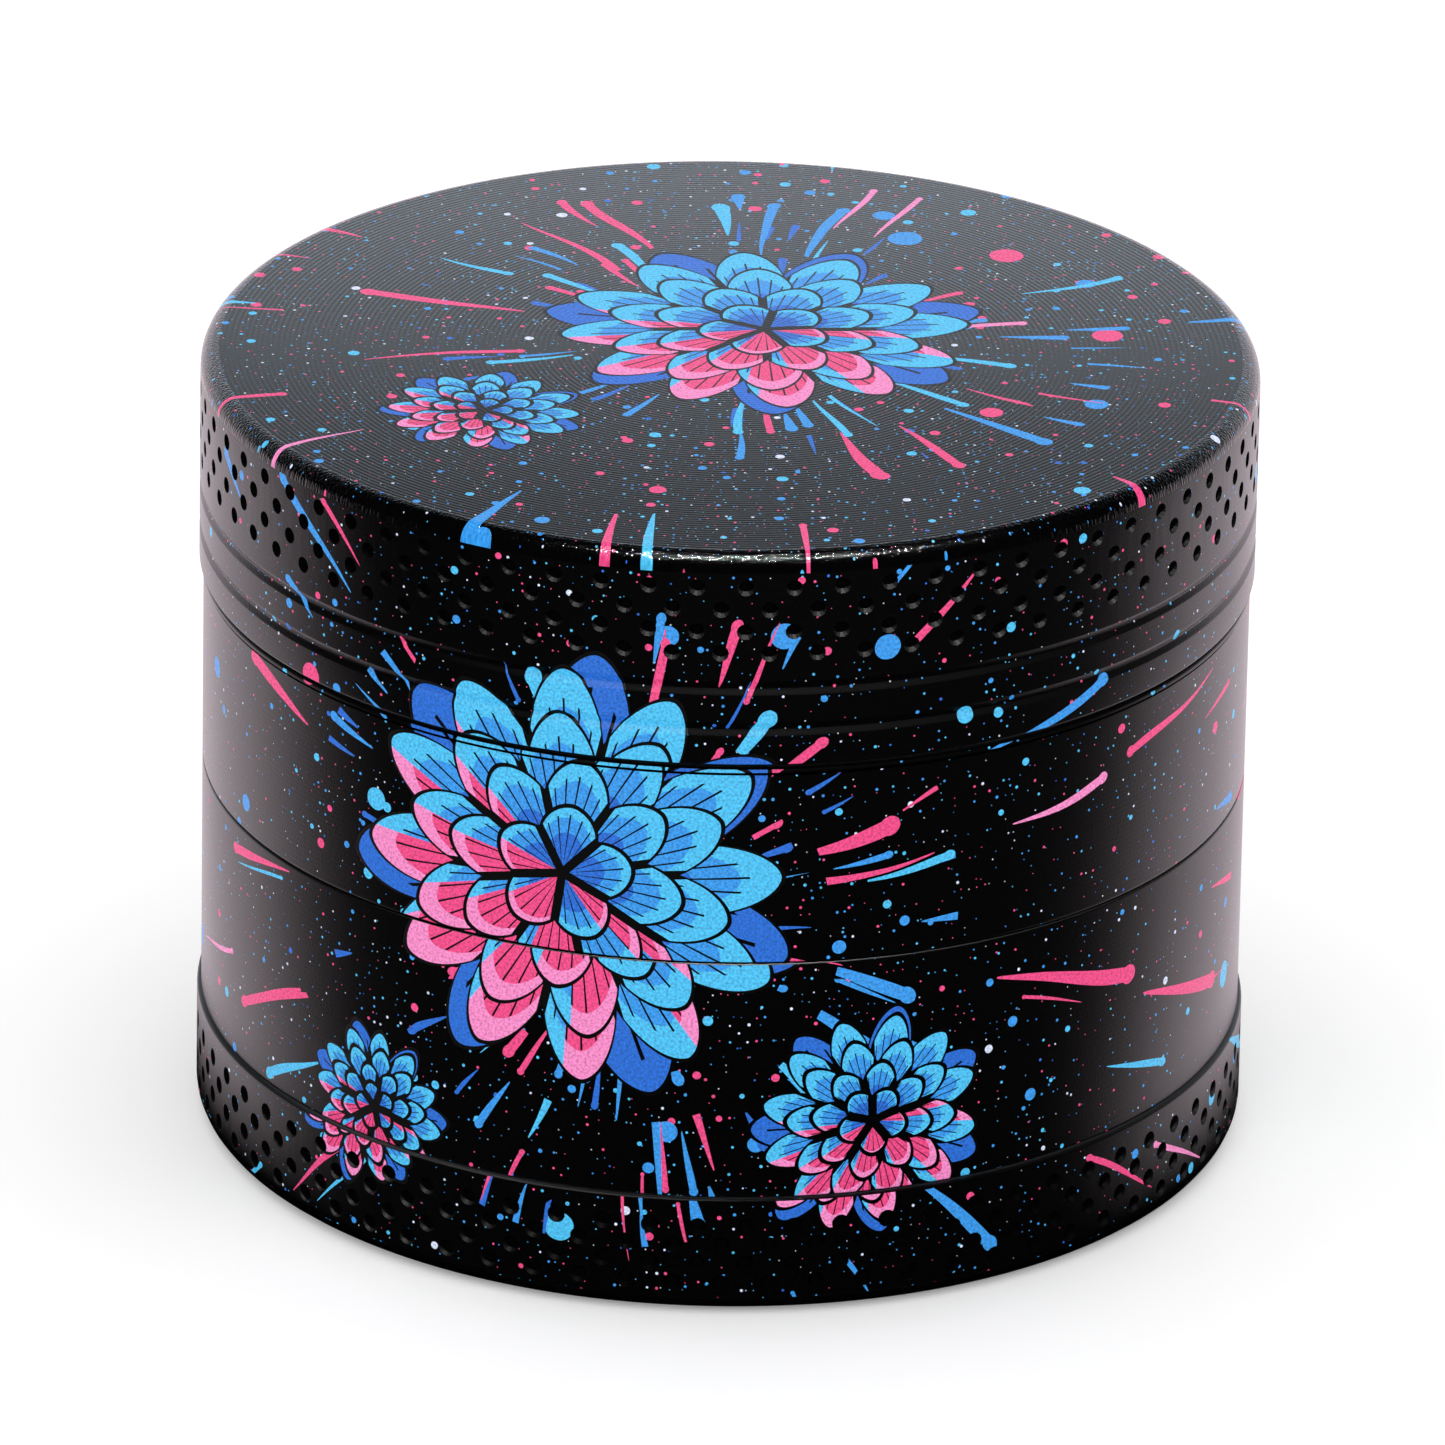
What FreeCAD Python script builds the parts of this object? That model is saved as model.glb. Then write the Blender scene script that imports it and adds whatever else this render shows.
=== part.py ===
import FreeCAD
import Part
import math
import os

Vector = FreeCAD.Vector

# A four-piece hand grinder for dried herbs: a toothed lid turns on a toothed chamber,
# the cut herb drops through holes into a sieve ring, and the finest dust falls
# through its screen into the catcher. Millimetres, +Z up, origin at the centre of
# the catcher's underside.

# Outside sizes
barrel_diameter = 62.5      # grinding chamber and sieve ring
lid_step = 0.25             # how far the lid stands proud of the barrel, on the radius
base_step = 0.25            # how far the catcher stands proud of the barrel
sieve_height = 15.1
chamber_height = 12.5
lid_gap = 0.2               # shadow gap under the lid's rim
lid_height = 13.2
lid_round = 1.1             # rounding of the lid's top edge
base_round = 1.4            # rounding of the catcher's bottom edge
edge_break = 0.2            # small rounding where two pieces meet outside

# Turned lines on the outside
groove_width = 0.85
groove_depth = 0.17
groove_flare = 0.38         # height of each sloping side
lower_groove_height = 2.32  # above the lid's rim, to the middle of the groove
upper_groove_height = 4.89
bead_height = 0.3           # raised rim at the top of the chamber
bead_step = 0.1
bead_groove_width = 0.2
bead_groove_depth = 0.2

# Screw threads, as plain cylinders at their crests
socket_wall = 2.5
thread_clearance = 0.15
collar_length = 3.8
collar_wall = 2.0
collar_lead_in = 0.3
socket_end_gap = 0.3

# Catcher
catcher_floor = 1.6
bowl_depth = 1.7            # below the thread's inner end
bowl_corner = 1.5

# Sieve ring and screen
ledge_rise = 0.8            # ledge's upper face above the catcher's rim
ledge_thickness = 1.6
ledge_width = 2.0
screen_thickness = 0.3
screen_clearance = 0.1
clamp_height = 1.6          # ring that holds the screen down
clamp_wall = 1.7
clamp_clearance = 0.05
screen_hole_pitch = 2.6
screen_wire = 0.8

# Grinding chamber
chamber_floor = 3.0
floor_drop = 2.6            # floor's upper face below the chamber's shoulder
hollow_corner = 1.0
cavity_corner = 0.6
spigot_wall = 2.0
spigot_round = 0.4
post_radius = 4.6
post_drop = 3.6             # post's top below the spigot's top
post_gap = 3.2              # clear ring round the post
wall_gap = 0.9              # clear ring inside the chamber's wall
tooth_gap = 1.6             # clear ring between two rings of teeth
chamber_tooth_drop = 0.6    # tooth tips below the spigot's top
hole_web = 1.4              # metal left between two rings of holes
drill_overrun = 1.0

# Lid
lid_top = 4.0               # thickness of the lid over its teeth
skirt_wall = 2.1
ceiling_gap = 0.8           # spigot's top to the lid's ceiling
spigot_clearance = 0.3
lid_corner = 0.8
lid_tooth_gap = 0.8         # tooth tips to the chamber's floor
boss_gap = 0.4              # lid's boss to the chamber's post

# Slip ring between lid and chamber
ring_wall = 0.8
ring_height = 4.8
ring_clearance = 0.15
ring_round = 0.15

# Teeth: diamonds with their long axis along the turn
tooth_length = 5.0
tooth_taper = 0.72          # tip's share of the root, both ways
tooth_sink = 0.3            # root inside its plate
chamber_teeth = (6, 12)     # inner ring, outer ring
lid_teeth = (8, 14)
holes_under_lid_teeth = (12, 20)

# Magnets
magnet_radius = 3.0
magnet_thickness = 2.0
magnet_clearance = 0.05

# Scraper lying in the catcher
scraper_reach = 12.0        # centre to corner, before rounding
scraper_corner = 3.0
scraper_thickness = 1.0
scraper_bevel = 0.3
scraper_place = (4.0, -3.0)
scraper_turn = 20.0

# Radii that follow
barrel_radius = barrel_diameter / 2
lid_radius = barrel_radius + lid_step
base_radius = barrel_radius + base_step
socket_radius = barrel_radius - socket_wall
collar_radius = socket_radius - thread_clearance
bore_radius = collar_radius - collar_wall
ledge_radius = bore_radius - ledge_width
skirt_radius = lid_radius - skirt_wall
ring_outer = skirt_radius - ring_clearance
ring_inner = ring_outer - ring_wall
spigot_radius = ring_inner - ring_clearance
cavity_radius = spigot_radius - spigot_wall
lid_bore = spigot_radius + spigot_clearance
pocket_radius = magnet_radius + magnet_clearance

# Four rings of teeth share the room between the post and the wall
teeth_from = post_radius + post_gap
teeth_to = cavity_radius - wall_gap
tooth_rings = 4
tooth_width = (teeth_to - teeth_from - (tooth_rings - 1) * tooth_gap) / tooth_rings
ring_pitch = tooth_width + tooth_gap
hole_radius = (ring_pitch - hole_web) / 2
tooth_radii = [teeth_from + tooth_width / 2 + i * ring_pitch for i in range(tooth_rings)]
chamber_tooth_radii = tooth_radii[0::2]
lid_tooth_radii = tooth_radii[1::2]

# Heights that follow, from the catcher's underside up
socket_depth = collar_length + socket_end_gap
sieve_z = catcher_floor + bowl_depth + socket_depth
chamber_z = sieve_z + sieve_height
shoulder_z = chamber_z + chamber_height
rim_z = shoulder_z + lid_gap
top_z = rim_z + lid_height
ledge_z = sieve_z + ledge_rise
screen_top = ledge_z + screen_thickness
floor_z = shoulder_z - floor_drop
ceiling_z = top_z - lid_top
spigot_top = ceiling_z - ceiling_gap
post_top = spigot_top - post_drop
boss_z = post_top + boss_gap
ring_top = shoulder_z + ring_height


def outline(corners):
    """Closed wire in the XZ plane through (radius, height, rounding) corners."""
    points = [Vector(c[0], 0, c[1]) for c in corners]
    roundings = [c[2] if len(c) > 2 else 0 for c in corners]
    starts, ends, arcs = [], [], []
    for i, corner in enumerate(points):
        back = points[i - 1] - corner
        ahead = points[(i + 1) % len(points)] - corner
        half = back.getAngle(ahead) / 2
        back.normalize()
        ahead.normalize()
        reach = roundings[i] / math.tan(half)
        starts.append(corner + back * reach)
        ends.append(corner + ahead * reach)
        middle = (back + ahead).normalize() if roundings[i] else Vector()
        depth = roundings[i] / math.sin(half) - roundings[i]
        arcs.append(corner + middle * depth)
    edges = []
    for i in range(len(points)):
        if roundings[i]:
            edges.append(Part.Arc(starts[i], arcs[i], ends[i]).toShape())
        following = starts[(i + 1) % len(points)]
        if (following - ends[i]).Length > 1e-6:
            edges.append(Part.LineSegment(ends[i], following).toShape())
    return Part.Wire(edges)


def turned(corners):
    """Solid turned about Z from a closed outline of (radius, height, rounding) corners."""
    return Part.Face(outline(corners)).revolve(Vector(), Vector(0, 0, 1), 360)


def around(shape, count, phase=0.0):
    """Copies of a shape spaced evenly about Z."""
    copies = []
    for i in range(count):
        copy = shape.copy()
        copy.rotate(Vector(), Vector(0, 0, 1), phase + i * 360 / count)
        copies.append(copy)
    return copies


def groove(radius, middle_z, width, depth):
    """Corners of a turned groove on an outer wall that is followed upwards."""
    low, high = middle_z - width / 2, middle_z + width / 2
    bottom = radius - depth
    return [(radius, low), (bottom, low + groove_flare), (bottom, high - groove_flare), (radius, high)]


def tooth(radius, root_z, tip_z):
    """One tapered diamond tooth on the +X axis, its root sunk a little into its plate."""
    sink = math.copysign(tooth_sink, tip_z - root_z)
    rings = []
    for z, share in ((root_z - sink, 1.0), (tip_z, tooth_taper)):
        wide, long = share * tooth_width / 2, share * tooth_length / 2
        corners = [(radius - wide, 0), (radius, -long), (radius + wide, 0), (radius, long)]
        points = [Vector(x, y, z) for x, y in corners]
        rings.append(Part.makePolygon(points + points[:1]))
    return Part.makeLoft(rings, True, True)


def magnet(low_z):
    """Disc magnet with broken edges."""
    high_z = low_z + magnet_thickness
    return turned([
        (0, low_z),
        (magnet_radius, low_z, edge_break),
        (magnet_radius, high_z, edge_break),
        (0, high_z),
    ])


def make_catcher():
    """Shallow bowl with a female thread inside its rim."""
    socket_floor = sieve_z - socket_depth
    return turned([
        (0, 0),
        (base_radius, 0, base_round),
        (base_radius, sieve_z, edge_break),
        (socket_radius, sieve_z, edge_break),
        (socket_radius, socket_floor),
        (bore_radius, socket_floor),
        (bore_radius, catcher_floor, bowl_corner),
        (0, catcher_floor),
    ])


def make_scraper():
    """Rounded three-cornered pick lying on the catcher's floor."""
    corners = []
    for i in range(3):
        turn = math.radians(scraper_turn + 120 * i)
        x = scraper_place[0] + scraper_reach * math.cos(turn)
        y = scraper_place[1] + scraper_reach * math.sin(turn)
        corners.append(Vector(x, y, catcher_floor))
    blank = Part.Face(Part.makePolygon(corners + corners[:1])).extrude(Vector(0, 0, scraper_thickness))
    upright = [e for e in blank.Edges if abs(e.Vertexes[0].Z - e.Vertexes[1].Z) > scraper_thickness / 2]
    pick = blank.makeFillet(scraper_corner, upright)
    top = catcher_floor + scraper_thickness
    rim = [e for e in pick.Edges if all(abs(v.Z - top) < 1e-6 for v in e.Vertexes)]
    return pick.makeChamfer(scraper_bevel, rim)


def make_sieve_ring():
    """Barrel with a male thread below, a female thread above and a ledge for the screen."""
    collar_z = sieve_z - collar_length
    socket_floor = chamber_z - socket_depth
    return turned([
        (collar_radius, collar_z, collar_lead_in),
        (collar_radius, sieve_z),
        (barrel_radius, sieve_z, edge_break),
        (barrel_radius, chamber_z, edge_break),
        (socket_radius, chamber_z, edge_break),
        (socket_radius, socket_floor),
        (bore_radius, socket_floor),
        (bore_radius, ledge_z),
        (ledge_radius, ledge_z),
        (ledge_radius, ledge_z - ledge_thickness),
        (bore_radius, ledge_z - ledge_thickness),
        (bore_radius, collar_z, collar_lead_in),
    ])


def make_screen():
    """Screen disc: a solid rim under its clamp ring and square gaps between the wires."""
    disc_radius = bore_radius - screen_clearance
    open_radius = disc_radius - clamp_wall - screen_wire
    gap = screen_hole_pitch - screen_wire
    corner_reach = gap / 2 * math.sqrt(2)
    disc = Part.Face(Part.Wire(Part.makeCircle(disc_radius, Vector(0, 0, ledge_z))))
    steps = int(open_radius / screen_hole_pitch)
    gaps = []
    for i in range(-steps, steps + 1):
        for j in range(-steps, steps + 1):
            x, y = i * screen_hole_pitch, j * screen_hole_pitch
            if math.hypot(x, y) + corner_reach < open_radius:
                gaps.append(Part.makePlane(gap, gap, Vector(x - gap / 2, y - gap / 2, ledge_z)))
    return disc.cut(Part.makeCompound(gaps)).extrude(Vector(0, 0, screen_thickness)).Solids[0]


def make_clamp_ring():
    """Ring pressed into the bore on top of the screen."""
    outer = bore_radius - clamp_clearance
    inner = outer - clamp_wall
    high = screen_top + clamp_height
    return turned([
        (inner, screen_top),
        (outer, screen_top),
        (outer, high, edge_break),
        (inner, high, edge_break),
    ])


def make_chamber():
    """Toothed chamber: male thread below, pierced floor, post and the spigot that the lid turns on."""
    collar_z = chamber_z - collar_length
    bead_radius = barrel_radius + bead_step
    bead_z = shoulder_z - bead_height
    groove_z = bead_z - bead_groove_width
    pocket_z = post_top - magnet_thickness
    body = turned([
        (collar_radius, collar_z, collar_lead_in),
        (collar_radius, chamber_z),
        (barrel_radius, chamber_z, edge_break),
        (barrel_radius, groove_z),
        (barrel_radius - bead_groove_depth, groove_z),
        (barrel_radius - bead_groove_depth, bead_z),
        (bead_radius, bead_z),
        (bead_radius, shoulder_z, edge_break),
        (spigot_radius, shoulder_z),
        (spigot_radius, spigot_top, spigot_round),
        (cavity_radius, spigot_top, spigot_round),
        (cavity_radius, floor_z, cavity_corner),
        (post_radius, floor_z, cavity_corner),
        (post_radius, post_top, edge_break),
        (pocket_radius, post_top),
        (pocket_radius, pocket_z),
        (0, pocket_z),
        (0, floor_z - chamber_floor),
        (bore_radius, floor_z - chamber_floor, hollow_corner),
        (bore_radius, collar_z, collar_lead_in),
    ])
    teeth, holes = [], []
    drill_z = floor_z - chamber_floor - drill_overrun
    drill_length = chamber_floor + 2 * drill_overrun
    for radius, count in zip(chamber_tooth_radii, chamber_teeth):
        teeth += around(tooth(radius, floor_z, spigot_top - chamber_tooth_drop), count)
        drill = Part.makeCylinder(hole_radius, drill_length, Vector(radius, 0, drill_z))
        holes += around(drill, count, 180 / count)
    for radius, count in zip(lid_tooth_radii, holes_under_lid_teeth):
        drill = Part.makeCylinder(hole_radius, drill_length, Vector(radius, 0, drill_z))
        holes += around(drill, count)
    return body.cut(Part.makeCompound(holes)).fuse(teeth).Solids[0]


def make_slip_ring():
    """Plastic ring that the lid's skirt turns on."""
    return turned([
        (ring_inner, shoulder_z, ring_round),
        (ring_outer, shoulder_z, ring_round),
        (ring_outer, ring_top, ring_round),
        (ring_inner, ring_top, ring_round),
    ])


def make_lid():
    """Toothed lid: skirt over the slip ring, two turned grooves and a boss for its magnet."""
    pocket_z = boss_z + magnet_thickness
    body = turned([
        (skirt_radius, rim_z, edge_break),
        (lid_radius, rim_z, edge_break),
        *groove(lid_radius, rim_z + lower_groove_height, groove_width, groove_depth),
        *groove(lid_radius, rim_z + upper_groove_height, groove_width, groove_depth),
        (lid_radius, top_z, lid_round),
        (0, top_z),
        (0, pocket_z),
        (pocket_radius, pocket_z),
        (pocket_radius, boss_z),
        (post_radius, boss_z, edge_break),
        (post_radius, ceiling_z, cavity_corner),
        (lid_bore, ceiling_z, lid_corner),
        (lid_bore, ring_top),
        (skirt_radius, ring_top),
    ])
    teeth = []
    for radius, count in zip(lid_tooth_radii, lid_teeth):
        teeth += around(tooth(radius, ceiling_z, floor_z + lid_tooth_gap), count, 180 / count)
    return body.fuse(teeth).Solids[0]


def main():
    nodes = {
        "catcher": make_catcher(),
        "scraper": make_scraper(),
        "sieve_ring": make_sieve_ring(),
        "screen": make_screen(),
        "screen_clamp_ring": make_clamp_ring(),
        "grinding_chamber": make_chamber(),
        "chamber_magnet": magnet(post_top - magnet_thickness),
        "slip_ring": make_slip_ring(),
        "lid": make_lid(),
        "lid_magnet": magnet(boss_z),
    }
    os.makedirs("parts", exist_ok=True)
    for name, shape in nodes.items():
        shape.exportStep(f"parts/{name}.step")
        state = "valid" if shape.isValid() else "NOT VALID"
        print(name, state, len(shape.Solids), "solid,", round(shape.Volume, 1), "mm3")


main()
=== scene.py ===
import math
from functools import partial

import bmesh
import bpy
from mathutils import Matrix, Quaternion, Vector


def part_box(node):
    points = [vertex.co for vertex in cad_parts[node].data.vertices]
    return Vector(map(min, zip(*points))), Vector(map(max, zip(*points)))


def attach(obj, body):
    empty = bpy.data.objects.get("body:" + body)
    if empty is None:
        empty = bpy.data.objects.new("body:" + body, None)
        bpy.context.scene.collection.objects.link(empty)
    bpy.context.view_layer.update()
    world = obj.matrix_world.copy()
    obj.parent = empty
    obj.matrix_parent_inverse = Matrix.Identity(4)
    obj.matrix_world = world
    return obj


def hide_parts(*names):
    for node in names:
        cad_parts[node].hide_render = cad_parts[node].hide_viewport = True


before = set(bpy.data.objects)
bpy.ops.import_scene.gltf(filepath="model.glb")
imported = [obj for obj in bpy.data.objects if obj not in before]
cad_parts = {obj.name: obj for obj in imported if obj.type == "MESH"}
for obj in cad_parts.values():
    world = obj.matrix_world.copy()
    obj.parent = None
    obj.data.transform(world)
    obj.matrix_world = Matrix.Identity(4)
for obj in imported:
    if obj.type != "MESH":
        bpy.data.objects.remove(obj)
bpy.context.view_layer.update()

mm = 0.001
tiny = 1e-6
fullTurn = 2 * math.pi

# Kinds of node that are used often, some with the settings that go with them
mathNode = "ShaderNodeMath"
vectorNode = "ShaderNodeVectorMath"
joinNode = "ShaderNodeCombineXYZ"
splitNode = "ShaderNodeSeparateXYZ"
shiftNode = "GeometryNodeTransform"
copyNode = "GeometryNodeInstanceOnPoints"
realNode = "GeometryNodeRealizeInstances"
noiseNode = "ShaderNodeTexNoise"  # place, scale, detail
mixNode = "ShaderNodeMix"
rangeNode = "ShaderNodeMapRange"  # value, from low, from high, to low, to high
smoothRange = (rangeNode, {"interpolation_type": "SMOOTHSTEP"})
flatNoise = (noiseNode, {"noise_dimensions": "2D"})
flatCells = ("ShaderNodeTexVoronoi", {"voronoi_dimensions": "2D"})  # place, scale
solidBoolean = ("GeometryNodeMeshBoolean", {"solver": "MANIFOLD"})
times, plus, minus, over, timesPlus, power, absolute, fraction, sine, cosine, arcTangent = [
    (mathNode, {"operation": name}) for name in (
        "MULTIPLY", "ADD", "SUBTRACT", "DIVIDE", "MULTIPLY_ADD", "POWER",
        "ABSOLUTE", "FRACT", "SINE", "COSINE", "ARCTAN2")]
isOver, isUnder, isNear, largerOf, smallerOf = [
    (mathNode, {"operation": name}) for name in (
        "GREATER_THAN", "LESS_THAN", "COMPARE", "MAXIMUM", "MINIMUM")]
vectorMinus = (vectorNode, {"operation": "SUBTRACT"})
vectorLength = (vectorNode, {"operation": "LENGTH"})
colorMix = (mixNode, {"data_type": "RGBA"})
colorTimes = (mixNode, {"data_type": "RGBA", "blend_type": "MULTIPLY"})
vectorMix = (mixNode, {"data_type": "VECTOR"})
numberMix = (mixNode, {"data_type": "FLOAT"})


def feedNode(tree, node, feeds):
    # feeds are keyed by socket, or listed in the order of the sockets in use; a node stands for its result
    if not isinstance(feeds, dict):
        inUse = [i for i, socket in enumerate(node.inputs) if socket.enabled]
        feeds = dict(zip(inUse, feeds))
    for socket, feed in feeds.items():
        if isinstance(feed, bpy.types.Node):
            feed = next(result for result in feed.outputs if result.enabled)
        if isinstance(feed, bpy.types.NodeSocket):
            tree.links.new(feed, node.inputs[socket])
        else:
            node.inputs[socket].default_value = feed


def addNode(tree, kind, *feeds, **settings):
    # feeds are one dictionary or a list; a kind may bring settings of its own
    if isinstance(kind, tuple):
        kind, preset = kind
        settings = {**preset, **settings}
    node = tree.nodes.new(kind)
    for name, value in settings.items():
        setattr(node, name, value)
    feedNode(tree, node, feeds[0] if feeds and isinstance(feeds[0], dict) else feeds)
    return node


def linearColor(code):
    # sRGB hex to the linear colour that shaders take
    parts = [int(code[i:i + 2], 16) / 255 for i in (1, 3, 5)]
    return [c / 12.92 if c <= 0.04045 else ((c + 0.055) / 1.055) ** 2.4 for c in parts] + [1.0]


def nodeBox(name):
    low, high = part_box(name)
    return low / mm, high / mm


def addObject(name, data):
    item = bpy.data.objects.new(name, data)
    bpy.context.scene.collection.objects.link(item)
    return item


def addForm(name, form):
    mesh = bpy.data.meshes.new(name)
    form.to_mesh(mesh)
    form.free()
    return addObject(name, mesh)


# Sizes in millimetres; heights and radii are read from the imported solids
lidHigh = nodeBox("lid")[1]
chamberHigh = nodeBox("grinding_chamber")[1]
sieveLow, sieveHigh = nodeBox("sieve_ring")
catcherHigh = nodeBox("catcher")[1]
slipLow, slipHigh = nodeBox("slip_ring")
screenLow, screenHigh = nodeBox("screen")
drum = {
    "topZ": lidHigh.z,
    "lidRadius": lidHigh.x,
    "lidRound": 1.1,  # rounding of the lid's top edge
    "barrelRadius": sieveHigh.x,
    "baseRadius": catcherHigh.x,
    "sieveZ": catcherHigh.z,  # seam between catcher and sieve ring
    "chamberZ": sieveHigh.z,  # seam between sieve ring and chamber
    "shoulderZ": slipLow.z,  # chamber's shoulder under the slip ring
    "rimZ": slipLow.z + 0.2,  # lid's rim, over its shadow gap
    "edgeBreak": 0.2,
    "turnSteps": 240,
    "arcSteps": 6,  # points along each rounding
}
thread = {
    "lead": 1.6,
    "depth": 0.42,
    "crest": 0.3,  # shares of half the lead
    "flank": 0.45,
    "rowStep": 0.13,  # height between two rings of points
    "fade": 0.5,  # run-in at each end
    "socketRadius": drum["barrelRadius"] - 2.5,
    "clearance": 0.15,
    "collarWall": 2.0,
    "collarRound": 0.3,
    "endGap": 0.3,
}
collarRadius = thread["socketRadius"] - thread["clearance"]
boreRadius = collarRadius - thread["collarWall"]
collarLength = drum["sieveZ"] - sieveLow.z


def collarCorners(seam):
    # up the outside of a threaded collar
    return [(collarRadius, seam - collarLength, thread["collarRound"], -1), (collarRadius, seam)]


def socketCorners(seam):
    # down into a threaded socket and across to the bore
    radius, floor = thread["socketRadius"], seam - collarLength - thread["endGap"]
    return [(radius, seam, drum["edgeBreak"], 1), (radius, floor), (boreRadius, floor)]


def roundedOutline(corners):
    # corners are (radius, height, rounding, cut); cut is the sense of a thread on the run that follows
    points = []
    count, steps = len(corners), drum["arcSteps"]
    for i, corner in enumerate(corners):
        here = Vector(corner[:2])
        back = (Vector(corners[i - 1][:2]) - here).normalized()
        ahead = (Vector(corners[(i + 1) % count][:2]) - here).normalized()
        rounding = corner[2] if len(corner) > 2 else 0
        if rounding:
            half = back.angle(ahead) / 2
            centre = here + (back + ahead).normalized() * rounding / math.sin(half)
            start = here + back * rounding / math.tan(half) - centre
            end = here + ahead * rounding / math.tan(half) - centre
            sweep = start.angle_signed(end)
            for k in range(steps + 1):
                points.append((*(centre + Matrix.Rotation(-sweep * k / steps, 2) @ start), 0))
        else:
            points.append((*here, 0))
        if len(corner) > 3:
            points += threadRows(points[-1], corners[(i + 1) % count], corner[3])
    return points


def threadRows(start, end, cut):
    # points along a straight run that gets a thread, which fades in and out
    first, last, fade = start[1], end[1], thread["fade"]
    rows = int(abs(last - first) / thread["rowStep"])
    heights = [first + (last - first) * k / rows for k in range(1, rows)]
    return [(start[0], z, cut * min(1, abs(z - first) / fade, abs(z - last) / fade)) for z in heights]


def threadCut(turn, z):
    # 0 on the crest and 1 at the root of a right-hand thread
    place = (z / thread["lead"] - turn / fullTurn) % 1
    return min(1, max(0, (abs(2 * place - 1) - thread["crest"]) / thread["flank"]))


def turnedMesh(name, corners):
    steps = drum["turnSteps"]
    form = bmesh.new()
    rings = []
    for radius, z, cut in roundedOutline(corners):
        if radius < tiny:
            rings.append([form.verts.new((0, 0, z * mm))] * steps)
            continue
        ring = []
        for k in range(steps):
            turn = fullTurn * k / steps
            r = radius + (cut * thread["depth"] * threadCut(turn, z) if cut else 0)
            ring.append(form.verts.new((r * math.cos(turn) * mm, r * math.sin(turn) * mm, z * mm)))
        rings.append(ring)
    for i, ring in enumerate(rings):
        after = rings[(i + 1) % len(rings)]
        for k in range(steps):
            loop = [ring[k], ring[(k + 1) % steps], after[(k + 1) % steps], after[k]]
            loop = list(dict.fromkeys(loop))
            if len(loop) > 2:
                form.faces.new(loop)
    bmesh.ops.recalc_face_normals(form, faces=form.faces)
    return addForm(name, form)


def newTree(name, counts, sizes):
    # a tree that takes a shape, counts, sizes in metres or radians, and a finish
    tree = bpy.data.node_groups.new(name, "GeometryNodeTree")
    kinds = {"Geometry": "Geometry", **dict.fromkeys(counts, "Int"), **dict.fromkeys(sizes, "Float")}
    for label, kind in {**kinds, "Finish": "Material"}.items():
        tree.interface.new_socket(label, in_out="INPUT", socket_type="NodeSocket" + kind)
    tree.interface.new_socket("Geometry", in_out="OUTPUT", socket_type="NodeSocketGeometry")
    return tree, partial(addNode, tree), tree.nodes.new("NodeGroupInput").outputs


def endTree(tree, shape, finish):
    real = addNode(tree, realNode, shape)
    dressed = addNode(tree, "GeometryNodeSetMaterial", {"Geometry": real, "Material": finish})
    addNode(tree, "NodeGroupOutput", dressed)
    return tree


def addTree(piece, tree, values):
    identifiers = {s.name: s.identifier for s in tree.interface.items_tree if s.in_out == "INPUT"}
    modifier = piece.modifiers.new(tree.name, "NODES")
    modifier.node_group = tree
    for label, value in values.items():
        modifier[identifiers[label]] = value


def bakeTrees(piece):
    graph = bpy.context.evaluated_depsgraph_get()
    plain = bpy.data.meshes.new_from_object(piece.evaluated_get(graph))
    piece.modifiers.clear()
    piece.data = plain
    plain.name = piece.name


# The punch that makes a dent: its sides, and its end and mouth as shares of the dent's radius
punchForm = {"sides": 12, "end": 0.55, "mouth": 1.45}


def dimpleTree():
    # staggered rows of blind dents, cut into a drum from outside
    tree, add, size = newTree("dimpleBand", ("Per row", "Rows"), (
        "Drum radius", "Top row", "Row pitch", "Start turn", "Dent radius", "Dent depth"))
    total = add(times, size["Per row"], size["Rows"])
    index = add("GeometryNodeInputIndex")
    row = add(mathNode, add(over, index, size["Per row"]), operation="FLOOR")
    half = add(times, add(mathNode, row, 2.0, operation="MODULO"), 0.5)
    turns = add(over, add(plus, index, half), size["Per row"])
    turn = add(timesPlus, turns, fullTurn, size["Start turn"])
    aside = add(sine, turn)
    back = add(times, add(cosine, turn), -1.0)
    outward = add(joinNode, aside, back)
    onDrum = add(vectorNode, {0: outward, "Scale": size["Drum radius"]}, operation="SCALE")
    height = add(minus, size["Top row"], add(times, row, size["Row pitch"]))
    place = add(vectorNode, onDrum, add(joinNode, {2: height}), operation="ADD")
    points = add("GeometryNodePoints", {"Count": total, "Position": place})
    facing = add("FunctionNodeAlignRotationToVector", {"Vector": outward}, axis="Z")
    end = add(times, size["Dent radius"], punchForm["end"])
    mouth = add(times, size["Dent radius"], punchForm["mouth"])
    length = add(times, size["Dent depth"], 2.0)
    punch = add("GeometryNodeMeshCone", {
        "Vertices": punchForm["sides"], "Radius Bottom": end, "Radius Top": mouth, "Depth": length})
    sink = add(joinNode, {2: add(times, size["Dent depth"], -1.0)})
    sunk = add(shiftNode, {"Geometry": punch.outputs["Mesh"], "Translation": sink})
    solid = add(realNode, add(copyNode, {"Points": points, "Instance": sunk, "Rotation": facing}))
    cut = add(solidBoolean, {"Mesh 1": size["Geometry"], "Mesh 2": solid}, operation="DIFFERENCE")
    return endTree(tree, cut, size["Finish"])


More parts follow.
